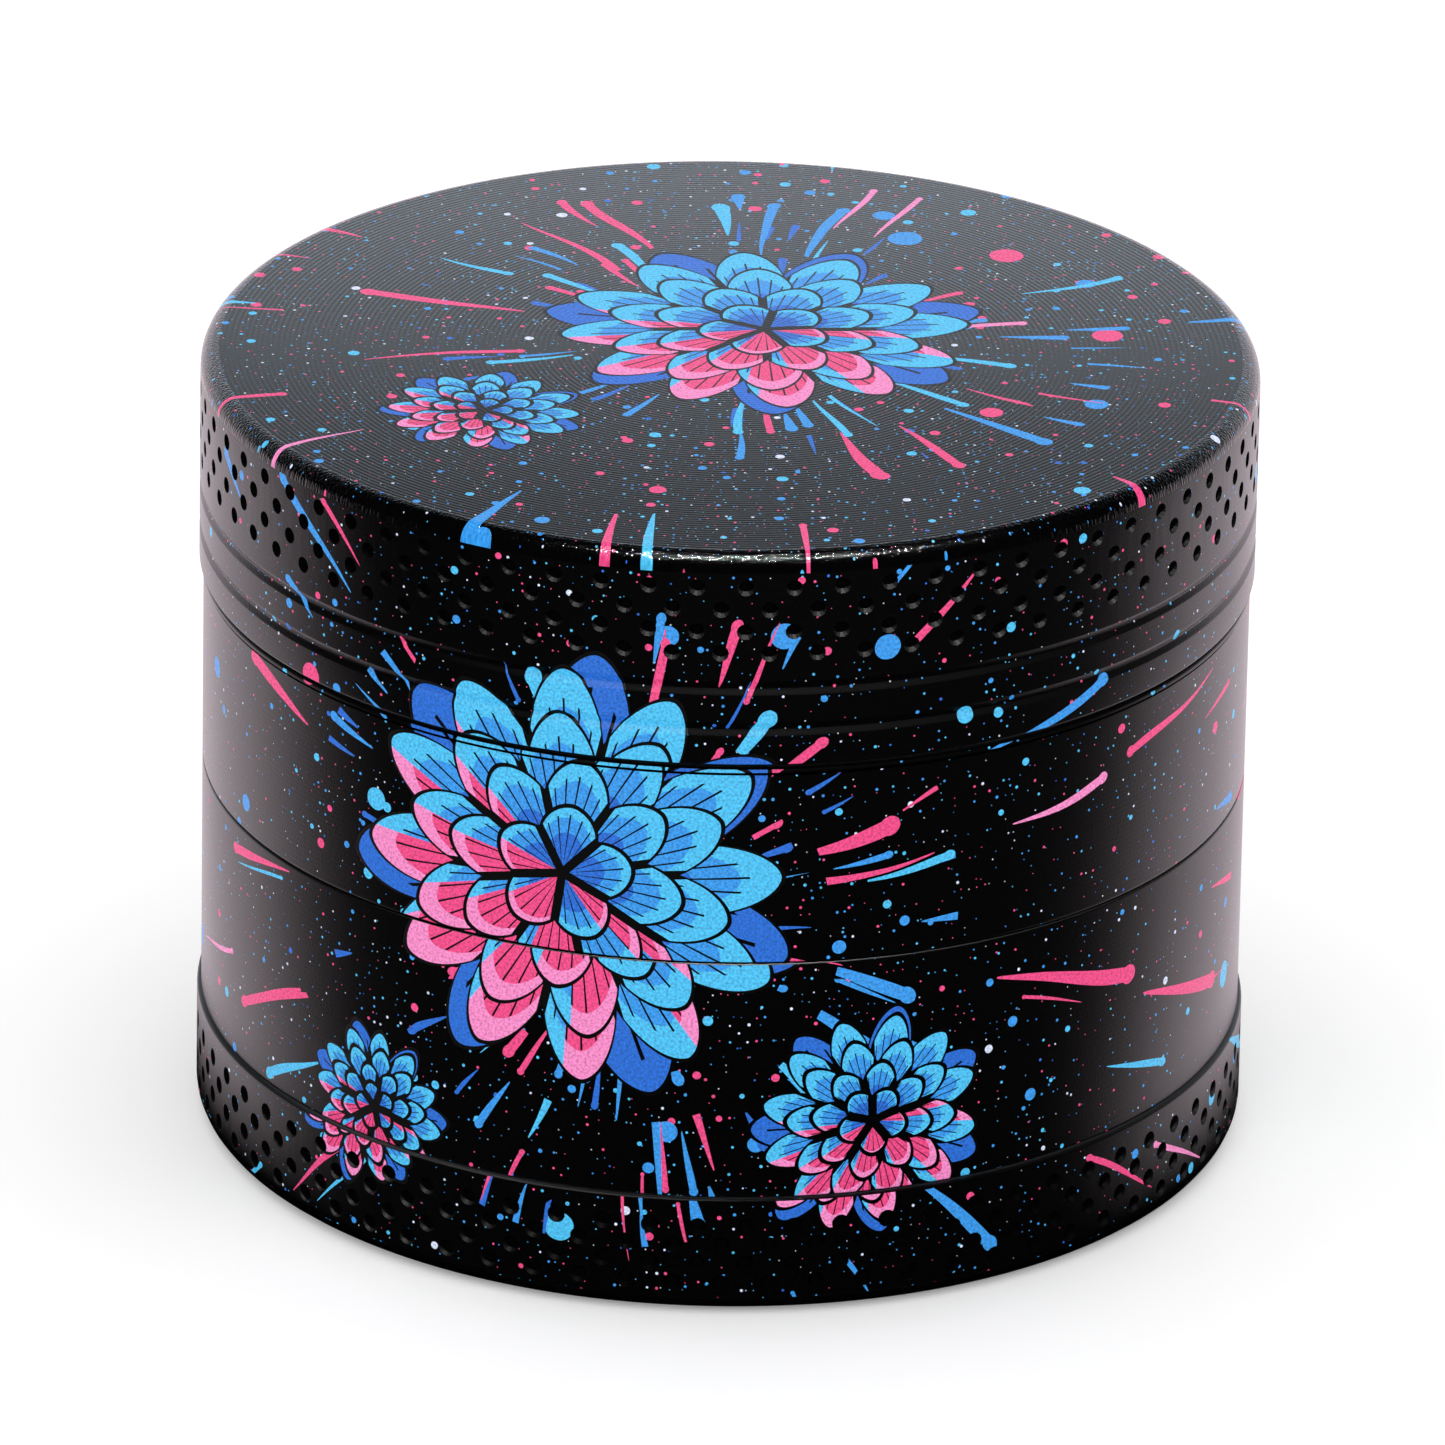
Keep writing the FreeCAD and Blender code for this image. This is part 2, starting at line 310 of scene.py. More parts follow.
def ringTree(name, operation):
    # a ring of upright prisms, added to a piece as teeth or taken from it as holes
    tree, add, size = newTree(name, ("Count", "Sides"), (
        "Ring radius", "Low", "Length", "Half width", "Half length", "Low share", "High share", "Start turn"))
    prism = add("GeometryNodeMeshCone", {
        "Vertices": size["Sides"], "Radius Bottom": size["Low share"], "Radius Top": size["High share"],
        "Depth": size["Length"]})
    spread = add(joinNode, size["Half width"], size["Half length"], 1.0)
    shift = add(joinNode, {0: size["Ring radius"], 2: size["Low"]})
    first = add(shiftNode, {
        "Geometry": prism.outputs["Mesh"], "Translation": shift, "Scale": spread})
    points = add("GeometryNodePoints", {"Count": size["Count"]})
    index = add("GeometryNodeInputIndex")
    turn = add(timesPlus, add(over, index, size["Count"]), fullTurn, size["Start turn"])
    about = add(joinNode, {2: turn})
    solid = add(realNode, add(copyNode, {"Points": points, "Instance": first, "Rotation": about}))
    joined = add(solidBoolean, operation=operation)
    blank = "Mesh 1" if operation == "DIFFERENCE" else "Mesh 2"
    tree.links.new(size["Geometry"], joined.inputs[blank])
    tree.links.new(solid.outputs[0], joined.inputs["Mesh 2"])
    return endTree(tree, joined, size["Finish"])


print("stage: helpers and trees ready")

# The print: paint thrown outwards from a cluster of flowers, places in millimetres of the drum's wrap
printLook = {
    "coat": "#040405",
    "shelf": 200.0,  # the lid's top lies this far up in the print's plane
    "sideCentre": (-6.0, 25.0),
    "topCentre": (1.0, 202.0),
    "blue": "#2C9AF0", "cyan": "#46C4F8", "deep": "#126CDA",
    "pink": "#F64488", "rose": "#FA8CCA", "white": "#DCE6FF",
    "line": "#040405",
    "outline": 0.28,  # width of a petal's dark line
    "flowers": (  # place, radius, tilt in radians
        ((-9.0, 27.5), 14.5, 0.3),
        ((9.0, 12.0), 7.6, 1.1),
        ((-22.5, 9.5), 5.6, 0.7),
        ((2.0, 203.5), 13.5, 0.9),
        ((-14.5, 190.0), 6.4, 0.2),
    ),
    # cells round the burst, cell length, share drawn, half length, half width, seed, nearest and farthest
    "streaks": (
        {"around": 64, "cell": 5.0, "share": 0.28, "half": (1.0, 2.4), "broad": (0.14, 0.42), "seed": 7.9,
         "reach": (9.0, 21.0), "inks": ((0, "deep"), (0.55, "blue"), (0.85, "pink"))},
        {"around": 28, "cell": 13.0, "share": 0.36, "half": (2.2, 5.8), "broad": (0.28, 0.68), "seed": 3.7,
         "reach": (13.0, 95.0), "inks": ((0, "cyan"), (0.24, "pink"), (0.52, "blue"), (0.74, "pink"))},
        {"around": 46, "cell": 9.0, "share": 0.28, "half": (1.2, 3.8), "broad": (0.14, 0.48), "seed": 21.3,
         "reach": (10.0, 95.0), "inks": ((0, "blue"), (0.3, "pink"), (0.64, "cyan"), (0.88, "rose"))},
    ),
    # cell, radius as a share of the cell, share drawn at the burst, seed, distance over which they thin out
    "drops": (
        {"cell": 0.5, "radius": (0.06, 0.2), "share": 0.5, "seed": 5.1, "fade": 60.0,
         "inks": ((0, "blue"), (0.3, "pink"), (0.54, "cyan"), (0.76, "white"), (0.93, "deep"))},
        {"cell": 1.5, "radius": (0.05, 0.24), "share": 0.42, "seed": 11.9, "fade": 70.0,
         "inks": ((0, "blue"), (0.3, "pink"), (0.58, "cyan"), (0.84, "white"), (0.93, "deep"))},
        {"cell": 6.2, "radius": (0.05, 0.18), "share": 0.5, "seed": 47.3, "fade": 120.0,
         "inks": ((0, "blue"), (0.3, "pink"), (0.66, "cyan"))},
    ),
}


def inkRamp(add, chance, stops):
    ramp = add("ShaderNodeValToRGB", chance)
    ramp.color_ramp.interpolation = "CONSTANT"
    elements = ramp.color_ramp.elements
    elements[1].position = stops[1][0]
    for place, ink in stops[2:]:
        elements.new(place)
    for element, (place, ink) in zip(elements, stops):
        element.color = linearColor(printLook[ink])
    return ramp


# Petals, in shares of a flower's radius or of a petal's own length and width
petalLook = {
    "rings": (  # petals, tip, dip between tips, phase, inks outwards, lean at which pink begins
        (7, 1.0, 0.78, 0.2, ("line", "deep", "deep"), 9.0),
        (12, 0.92, 0.34, 0.0, ("deep", "blue", "cyan"), 0.22),
        (10, 0.72, 0.32, 0.35, ("deep", "blue", "cyan"), 0.22),
        (8, 0.52, 0.3, 0.1, ("deep", "blue", "cyan"), 0.22),
        (5, 0.31, 0.3, 0.6, ("deep", "blue", "cyan"), 0.22),
    ),
    "inkStops": (0, 0.58, 0.8),
    "pinks": ((0, "pink"), (0.84, "rose")),
    "bluntness": 1.7,
    "pinkTurn": 2.6,  # radians
    "pinkPull": 0.5,
    "veins": 6.0,
    "veinWidth": 0.14,
    "veinEnd": 0.84,
    "outside": (9.0, 9.0, 0.0),  # where a spot lies that no flower covers
    "outsideLine": 0.01,
}


def flowerGroup():
    # one flower of unit radius, in rings of overlapping petals with dark outlines
    group = bpy.data.node_groups.new("printedFlower", "ShaderNodeTree")
    for label, way, kind in (
            ("Place", "INPUT", "Vector"), ("Line", "INPUT", "Float"),
            ("Color", "OUTPUT", "Color"), ("Cover", "OUTPUT", "Float")):
        group.interface.new_socket(label, in_out=way, socket_type="NodeSocket" + kind)
    add = partial(addNode, group)
    given = add("NodeGroupInput").outputs
    parts = add(splitNode, given["Place"]).outputs
    radius = add(vectorLength, given["Place"])
    turn = add(arcTangent, parts[1], parts[0])
    warmSide = add(cosine, add(plus, turn, petalLook["pinkTurn"]))
    lineInk = linearColor(printLook["line"])
    color, cover = lineInk, 0.0
    for petals, tip, dip, phase, fills, pinkFrom in petalLook["rings"]:
        share = add(fraction, add(timesPlus, turn, petals / fullTurn, phase))
        across = add(minus, share, 0.5)
        off = add(absolute, across)
        bend = add(power, add(times, off, 2.0), petalLook["bluntness"])
        edge = add(timesPlus, bend, -dip * tip, tip)
        inside = add(isOver, edge, radius)
        tipGap = add(minus, edge, radius)
        sideTurn = add(times, add(minus, 0.5, off), fullTurn / petals)
        gap = add(smallerOf, tipGap, add(times, sideTurn, radius))
        outline = add(isUnder, gap, given["Line"])
        reach = add(over, radius, edge)
        fill = inkRamp(add, reach, tuple(zip(petalLook["inkStops"], fills)))
        warm = add(isOver, add(timesPlus, warmSide, petalLook["pinkPull"], across), pinkFrom)
        blush = inkRamp(add, reach, petalLook["pinks"])
        petal = add(colorMix, warm, fill, blush)
        veinShare = add(fraction, add(times, share, petalLook["veins"]))
        veinThin = add(isUnder, veinShare, petalLook["veinWidth"])
        vein = add(times, veinThin, add(isUnder, reach, petalLook["veinEnd"]))
        inked = add(colorMix, add(largerOf, vein, outline), petal, lineInk)
        color = add(colorMix, inside, color, inked)
        cover = add(largerOf, cover, inside)
    add("NodeGroupOutput", color, cover)
    return group


# Drops of paint, alike in every layer
dropLook = {
    "smallness": 3.0,  # power that makes small drops the commonest
    "raggedScale": 0.9,
    "raggedEdge": (0.12, 0.94),  # factor on the distance to a drop's middle: range and least
    "farShare": 0.3,  # how many are left where they have thinned out
    "dusting": (0.45, 0.75),  # how many more on top, and how many everywhere
}


def dropMask(add, layer, field):
    # round drops, one to a cell
    smallest, largest = layer["radius"]
    spot = add(
        vectorNode, field["place"], (1 / layer["cell"],) * 3, (layer["seed"],) * 3, operation="MULTIPLY_ADD")
    cell = add(flatCells, spot, 1.0).outputs
    chance = add("ShaderNodeSeparateColor", cell["Color"]).outputs
    size = add(timesPlus, add(power, chance[0], dropLook["smallness"]), largest - smallest, smallest)
    room = add(flatCells, spot, 1.0, feature="N_SPHERE_RADIUS").outputs["Radius"]
    whole = add(smallerOf, size, room)
    edge = add(times, cell["Distance"], add(timesPlus, field["ragged"], *dropLook["raggedEdge"]))
    hit = add(isOver, whole, edge)
    farShare = layer["share"] * dropLook["farShare"]
    thin = add(rangeNode, field["radius"], 0.0, layer["fade"], layer["share"], farShare)
    drawn = add(isUnder, chance[1], add(times, thin, field["dusting"]))
    mask = add(times, hit, drawn)
    return mask, chance[2]


# Thrown strokes, alike in every layer; swell and head are shares of a stroke's width, bend is in millimetres
streakLook = {
    "scatter": 0.7,  # how far cells stray from a regular grid
    "headIn": 0.3,  # share whose head lies towards the burst
    "stemPower": 0.25,
    "stemSwell": (0.36, 0.56),  # growth towards the head, and the share of the width at mid-length
    "head": 0.84,
    "bend": 1.6, "bendScale": 0.11,
    "seamGap": 0.4,  # cells kept empty on each side of the jump in the turn
    "topSeed": 31.7,
}


def streakMask(add, layer, field):
    # thrown strokes, one to a cell on the rays of the burst: a stem that swells towards a round head
    shortest, longest = layer["half"]
    thinnest, widest = layer["broad"]
    nearest, farthest = layer["reach"]
    around = add(timesPlus, field["turn"], layer["around"] / fullTurn, layer["seed"])
    spot = add(joinNode, around, add(timesPlus, field["radius"], 1 / layer["cell"], field["topSeed"]))
    cell = add(flatCells, {"Vector": spot, "Scale": 1.0, "Randomness": streakLook["scatter"]}).outputs
    chance = add("ShaderNodeSeparateColor", cell["Color"]).outputs
    apart = add(splitNode, add(vectorMinus, spot, cell["Position"])).outputs
    half = add(timesPlus, chance[0], longest - shortest, shortest)
    broad = add(timesPlus, chance[2], widest - thinnest, thinnest)
    headOut = add(isOver, chance[2], streakLook["headIn"])
    run = add(times, apart[1], add(timesPlus, headOut, 2 * layer["cell"], -layer["cell"]))
    share = add(over, run, half)
    left = add(minus, 1.0, add(times, share, share), use_clamp=True)
    body = add(power, left, streakLook["stemPower"])
    stem = add(times, body, add(timesPlus, share, *streakLook["stemSwell"]))
    endShare = add(over, add(minus, run, half), broad)
    fromHead = add(plus, endShare, 1.0)
    headLeft = add(minus, 1.0, add(times, fromHead, fromHead), use_clamp=True)
    head = add(times, add(mathNode, headLeft, operation="SQRT"), streakLook["head"])
    edge = add(times, add(largerOf, stem, head), broad)
    across = add(times, apart[0], field["radius"])
    wobble = add(timesPlus, field["bend"], streakLook["bend"], -streakLook["bend"] / 2)
    away = add(absolute, add(timesPlus, across, fullTurn / layer["around"], wobble))
    hit = add(isOver, edge, away)
    drawn = add(isUnder, chance[1], layer["share"])
    within = add(isNear, field["radius"], (nearest + farthest) / 2, (farthest - nearest) / 2)
    owner = add(splitNode, cell["Position"]).outputs[0]
    unsplit = add(isNear, owner, layer["seed"], layer["around"] / 2 - streakLook["seamGap"])
    chosen = add(times, hit, drawn)
    mask = add(times, chosen, add(times, within, unsplit))
    return mask, chance[0]


def newFinish(name):
    finish = bpy.data.materials.new(name)
    finish.use_nodes = True
    return finish, partial(addNode, finish.node_tree)


def endFinish(finish, height, relief, feeds):
    tree = finish.node_tree
    bump = addNode(tree, "ShaderNodeBump", {"Height": height, "Strength": relief[0], "Distance": relief[1]})
    feedNode(tree, tree.nodes["Principled BSDF"], {"Normal": bump, **feeds})
    return finish


# The coat's surface; lines and grain give what is added at the place named, and what is everywhere
coatLook = {
    "linePitch": 0.32,  # millimetres
    "lines": (0.8, 0.2),  # turning lines on top
    "grainScale": 6.0,
    "grain": (11.0, 1.6),  # tumbled edge of the lid, which glints
    "inkStep": 1.2,
    "speckle": (1.3, 0.35),  # share of the ink's colour that shows: range and least
    "sheen": (0.27, 0.42),  # roughness of bare coat and of ink
    "edgeSheen": -0.19,  # change on the lid's edge
    "relief": (0.35, 0.000012),  # strength, depth in metres
    "refraction": 1.5,
    "fineGrain": 5000.0,
    "cloud": 160.0, "cloudRange": (0.85, 1.15),
}


def printedCoat():
    # satin black coat on aluminium with ultraviolet-cured ink: even sheen, crisp edged colour, a slight grain
    finish, add = newFinish("inkPrintedSatinCoat")
    place = add("ShaderNodeUVMap", uv_map="printPlace")
    height = add(splitNode, place).outputs[1]
    onTop = add(isOver, height, printLook["shelf"] / 2)
    side, top = Vector((*printLook["sideCentre"], 0)), Vector((*printLook["topCentre"], 0))
    centre = add(vectorNode, onTop, top - side, side, operation="MULTIPLY_ADD")
    fromBurst = add(vectorMinus, place, centre)
    offset = add(splitNode, fromBurst).outputs
    field = {
        "place": place,
        "radius": add(vectorLength, fromBurst),
        "turn": add(arcTangent, offset[1], offset[0]),
        "topSeed": add(times, onTop, streakLook["topSeed"]),
        "dusting": add(timesPlus, onTop, *dropLook["dusting"]),
        "ragged": add(flatNoise, place, dropLook["raggedScale"], 3.0),
        "bend": add(flatNoise, place, streakLook["bendScale"], 0.0),
    }
    ink, cover = linearColor(printLook["coat"]), 0.0
    layers = [(dropMask, layer) for layer in printLook["drops"]]
    layers += [(streakMask, layer) for layer in printLook["streaks"]]
    for makeMask, layer in layers:
        mask, chance = makeMask(add, layer, field)
        stain = inkRamp(add, chance, layer["inks"])
        ink = add(colorMix, mask, ink, stain)
        cover = add(largerOf, cover, mask)

    # each spot takes the place it has in the flower that covers it, in that flower's radii
    petalPlace, line = petalLook["outside"], petalLook["outsideLine"]
    for middle, radius, tilt in printLook["flowers"]:
        centred = add("ShaderNodeMapping", {
            "Vector": place, "Location": (*middle, 0), "Rotation": (0, 0, tilt),
            "Scale": (radius,) * 3}, vector_type="TEXTURE")
        near = add(isUnder, add(vectorLength, centred), 1.0)
        petalPlace = add(vectorMix, near, petalPlace, centred)
        line = add(numberMix, near, line, printLook["outline"] / radius)
    flower = add("ShaderNodeGroup", {"Place": petalPlace, "Line": line}, node_tree=flowerGroup()).outputs
    ink = add(colorMix, flower["Cover"], ink, flower["Color"])
    cover = add(largerOf, cover, flower["Cover"])

    # fine turning lines under the ink, about the axis on top and level round the sides, drawn coarser to show
    ringRadius = add(vectorLength, add(vectorMinus, place, (0, printLook["shelf"], 0)))
    lineAt = add(numberMix, onTop, height, ringRadius)
    wave = add(sine, add(times, lineAt, fullTurn / coatLook["linePitch"]))
    lines = add(times, wave, add(timesPlus, onTop, *coatLook["lines"]))
    grain = add(flatNoise, place, coatLook["grainScale"], 2.0)
    onRound = add(isNear, ringRadius, drum["lidRadius"], drum["lidRound"])
    relief = add(timesPlus, grain, add(timesPlus, onRound, *coatLook["grain"]), lines)
    raised = add(timesPlus, cover, coatLook["inkStep"], relief)
    grained = add(colorTimes, 1.0, ink, add(timesPlus, grain, *coatLook["speckle"]))
    sheen = add(rangeNode, cover, 0.0, 1.0, *coatLook["sheen"])
    rough = add(timesPlus, onRound, coatLook["edgeSheen"], sheen)
    return endFinish(finish, raised, coatLook["relief"], {
        "Base Color": grained, "Roughness": rough, "IOR": coatLook["refraction"]})


def plainCoat(name, roughness, gloss):
    # the same black coat with no ink: satin on broken edges, matt in dents and grooves
    finish, add = newFinish(name)
    place = add("ShaderNodeTexCoord").outputs["Object"]
    grain = add(noiseNode, place, coatLook["fineGrain"], 2.0)
    cloud = add(noiseNode, place, coatLook["cloud"], 3.0)
    rough = add(rangeNode, cloud, 0.0, 1.0, *(roughness * share for share in coatLook["cloudRange"]))
    return endFinish(finish, grain, coatLook["relief"], {
        "Base Color": linearColor(printLook["coat"]), "Roughness": rough, "IOR": coatLook["refraction"],
        "Specular IOR Level": gloss})


# Shares of the roughness and of the colour, which the surface's lines or clouds vary between
metalLook = {"rough": (0.75, 1.3), "tint": (0.86, 1.08), "relief": (0.3, 0.00002)}
plasticLook = {
    "rough": (0.8, 1.2),
    "tint": (0.92, 1.04),
    "cloud": 120.0,
    "relief": (0.4, 0.00003),
    "refraction": 1.48,
    "depth": 0.0006,  # metres that light runs under the surface
}


def variedSurface(add, pattern, color, roughness, look):
    rough = add(rangeNode, pattern, 0.0, 1.0, *(roughness * share for share in look["rough"]))
    shade = add(colorTimes, 1.0, linearColor(color), add(rangeNode, pattern, 0.0, 1.0, *look["tint"]))
    return {"Base Color": shade, "Roughness": rough}


def metalFinish(name, color, roughness, lines, metallic=1.0, onLathe=False):
    # metal with a lathe's rings or a drawing die's fine lines, drawn coarser than real so that they show
    finish, add = newFinish(name)
    place = add("ShaderNodeTexCoord").outputs["Object"]
    if onLathe:
        level = add(vectorNode, place, (1, 1, 0), operation="MULTIPLY")
        fromAxis = add(vectorLength, level)
        height = add(splitNode, place).outputs[2]
        place = add(joinNode, {0: fromAxis, 2: height})
    streak = add(noiseNode, add("ShaderNodeMapping", {"Vector": place, "Scale": lines}), 1.0, 3.0)
    surface = variedSurface(add, streak, color, roughness, metalLook)
    return endFinish(finish, streak, metalLook["relief"], {**surface, "Metallic": metallic})


def plasticFinish(name, color, roughness, grainSize, through):
    # moulded plastic: a fine spark-eroded grain, slightly uneven gloss, a little light through thin edges
    finish, add = newFinish(name)
    place = add("ShaderNodeTexCoord").outputs["Object"]
    grain = add(noiseNode, place, 1 / (grainSize * mm), 2.0)
    cloud = add(noiseNode, place, plasticLook["cloud"], 2.0)
    surface = variedSurface(add, cloud, color, roughness, plasticLook)
    return endFinish(finish, grain, plasticLook["relief"], {
        **surface, "IOR": plasticLook["refraction"], "Subsurface Weight": through,
        "Subsurface Scale": plasticLook["depth"]})


coat = plainCoat("satinBlackCoat", 0.4, 0.5)
mattCoat = plainCoat("mattBlackCoat", 0.65, 0.15)
printed = printedCoat()
anodised = metalFinish(  # dyed oxide, so only part metal
    "blackAnodisedAluminium", "#45484D", 0.36, (2600, 2600, 2600), metallic=0.4, onLathe=True)
drawnSteel = metalFinish("drawnStainlessWire", "#B9B7B2", 0.28, (900, 900, 4000))
turnedSteel = metalFinish("turnedStainlessSteel", "#B4B2AE", 0.3, (4000, 4000, 4000), onLathe=True)
nickel = metalFinish("nickelPlate", "#C6C0B4", 0.16, (1500, 1500, 1500))
acetal = plasticFinish("naturalAcetal", "#E4E2DA", 0.38, 0.15, 0.12)
moulded = plasticFinish("mouldedPolypropylene", "#1D5F96", 0.42, 0.22, 0.08)
print("stage: materials ready")

dents = dimpleTree()
addTeeth = ringTree("toothRing", "UNION")
cutHoles = ringTree("holeRing", "DIFFERENCE")


def finishPiece(piece, body, node, sharpAngle=32):
    piece.data.shade_smooth()
    piece.data.set_sharp_from_angle(angle=math.radians(sharpAngle))
    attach(piece, body)
    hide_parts(node)
    print("piece:", piece.name, len(piece.data.polygons), "faces")


# Which faces count as the printed skin: millimetres, and the cosine of a face's lean
skin = {
    "groove": 0.19,  # turned grooves up to this depth take the print
    "depth": 0.6,  # faces deeper than this are insides
    "edge": 0.3, "underside": 0.5,
    "seam": 0.02, "slack": 0.01,
    "facing": 0.85, "topFacing": -0.1,
}
coatSlot, printSlot, cutSlot, insideSlot = range(4)


def printSkin(piece, radius, low, high, shift, withTop=False):
    # the outer wall with its turned lines, and the lid's top, take the print
    # dents and other cuts are matt, insides are anodised
    mesh = piece.data
    mesh.materials.clear()
    for finish in (coat, printed, mattCoat, anodised):
        mesh.materials.append(finish)
    layer = mesh.uv_layers.new(name="printPlace")
    for face in mesh.polygons:
        centre = face.center / mm
        reach = math.hypot(centre.x, centre.y)
        outward = (face.normal.x * centre.x + face.normal.y * centre.y) / max(reach, tiny)
        onWall = low < centre.z < high and reach > radius - skin["groove"] and outward > skin["facing"]
        isHigh = centre.z > high - skin["slack"] and face.normal.z > skin["topFacing"]
        onTop = withTop and not onWall and isHigh
        if not (onWall or onTop):
            inside = reach < radius - skin["depth"] and centre.z > skin["underside"]
            inCut = low + skin["edge"] < centre.z < high - skin["edge"]
            face.material_index = insideSlot if inside else cutSlot if inCut else coatSlot
            continue
        face.material_index = printSlot
        middle = math.atan2(centre.x, -centre.y)
        for corner in face.loop_indices:
            spot = mesh.vertices[mesh.loops[corner].vertex_index].co / mm
            if onTop:
                layer.data[corner].uv = (spot.x, spot.y + printLook["shelf"])
            else:
                turn = math.atan2(spot.x, -spot.y)
                turn -= round((turn - middle) / fullTurn) * fullTurn
                layer.data[corner].uv = (turn * drum["lidRadius"] + shift, spot.z)


def grooveCorners(radius, middle, width, depth, flare):
    low, high = middle - width / 2, middle + width / 2
    return [(radius, low), (radius - depth, low + flare), (radius - depth, high - flare), (radius, high)]


def punchDents(piece, look, radius):
    addTree(piece, dents, {
        "Per row": look["dentsPerRow"], "Rows": look["dentRows"], "Drum radius": radius * mm,
        "Top row": look["topRow"] * mm, "Row pitch": look["rowPitch"] * mm,
        "Start turn": math.radians(look["firstTurn"]), "Dent radius": look["dentRadius"] * mm,
        "Dent depth": look["dentDepth"] * mm, "Finish": coat})


# Teeth of the lid and the chamber: the tip's share of the width, and how far they sink into what carries them
tooth = {"sides": 4, "width": 3.2, "length": 5.0, "tip": 0.72, "root": 0.3}


def growTeeth(piece, rings, low, high, shares, halfSteps):
    # shares of the full width at the low end and the high end
    for radius, count in rings:
        addTree(piece, addTeeth, {
            "Count": count, "Sides": tooth["sides"], "Ring radius": radius * mm, "Low": low * mm,
            "Length": (high - low) * mm, "Half width": tooth["width"] / 2, "Half length": tooth["length"] / 2,
            "Low share": shares[0] * mm, "High share": shares[1] * mm,
            "Start turn": halfSteps * math.pi / count, "Finish": coat})


# Lid: turned blank, two grooves, a dimpled grip band, two rings of teeth
lid = {
    "skirtRadius": slipHigh.x + 0.15,
    "boreRadius": slipHigh.x - 0.65, "boreFillet": 0.8,
    "ledgeZ": slipHigh.z + 0.01,  # a hair over the slip ring
    "ceilingZ": drum["topZ"] - 4.0,
    "bossRadius": 4.6, "bossFillet": 0.6,
    "bossZ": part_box("lid_magnet")[0].z / mm,
    "pocketRadius": 3.05, "pocketDepth": 2.0,
    "grooves": (2.32, 4.89),  # heights over the rim
    "groove": (0.85, 0.17, 0.38),  # width, depth, height of each sloping side
    "sharpAngle": 18,  # degrees, so that the shallow grooves keep crisp lips
    "dentsPerRow": 70, "dentRows": 4,
    "topRow": 46.4, "rowPitch": 1.37,
    "firstTurn": 2.05,  # degrees
    "dentRadius": 0.5, "dentDepth": 0.3,
    "teeth": ((14.2, 8), (23.8, 14)),
    "toothTipZ": 33.2,
    "printShift": 0.0,
}


def makeLid():
    rim, top, outer, edge = drum["rimZ"], drum["topZ"], drum["lidRadius"], drum["edgeBreak"]
    bossZ, ceiling = lid["bossZ"], lid["ceilingZ"]
    pocketTop = bossZ + lid["pocketDepth"]
    grooves = [c for z in lid["grooves"] for c in grooveCorners(outer, rim + z, *lid["groove"])]
    piece = turnedMesh("printedLid", [
        (lid["skirtRadius"], rim, edge), (outer, rim, edge), *grooves, (outer, top, drum["lidRound"]),
        (0, top), (0, pocketTop), (lid["pocketRadius"], pocketTop), (lid["pocketRadius"], bossZ),
        (lid["bossRadius"], bossZ, edge), (lid["bossRadius"], ceiling, lid["bossFillet"]),
        (lid["boreRadius"], ceiling, lid["boreFillet"]), (lid["boreRadius"], lid["ledgeZ"]),
        (lid["skirtRadius"], lid["ledgeZ"])])
    punchDents(piece, lid, outer)
    growTeeth(piece, lid["teeth"], lid["toothTipZ"], ceiling + tooth["root"], (tooth["tip"], 1), 1)
    bakeTrees(piece)
    printSkin(piece, outer, rim, top - drum["lidRound"], lid["printShift"], withTop=True)
    finishPiece(piece, "lid", "lid", lid["sharpAngle"])


# Grinding chamber: threaded collar, thin bead under the lid, pierced floor, post, spigot and teeth
chamber = {
    "beadStep": 0.1, "beadHeight": 0.3,
    "beadGroove": (0.2, 0.2),  # width, depth
    "spigotRadius": slipHigh.x - 0.95,
    "spigotWall": 2.0, "spigotRound": 0.4,
    "floorZ": drum["shoulderZ"] - 2.6,
    "floorThickness": 3.0, "floorFillet": 0.6, "underFillet": 1.0,
    "postRadius": 4.6, "pocketRadius": 3.05,
    "holeRadius": 1.7, "holeSides": 24,
    "cutterOver": 1.0,  # how far the holes' cutter stands out at each end
    "teeth": ((9.4, 6), (19.0, 12)),
    "holesBetween": ((14.2, 12), (23.8, 20)),
    "toothDrop": 0.6,
    "printShift": 0.5,
}


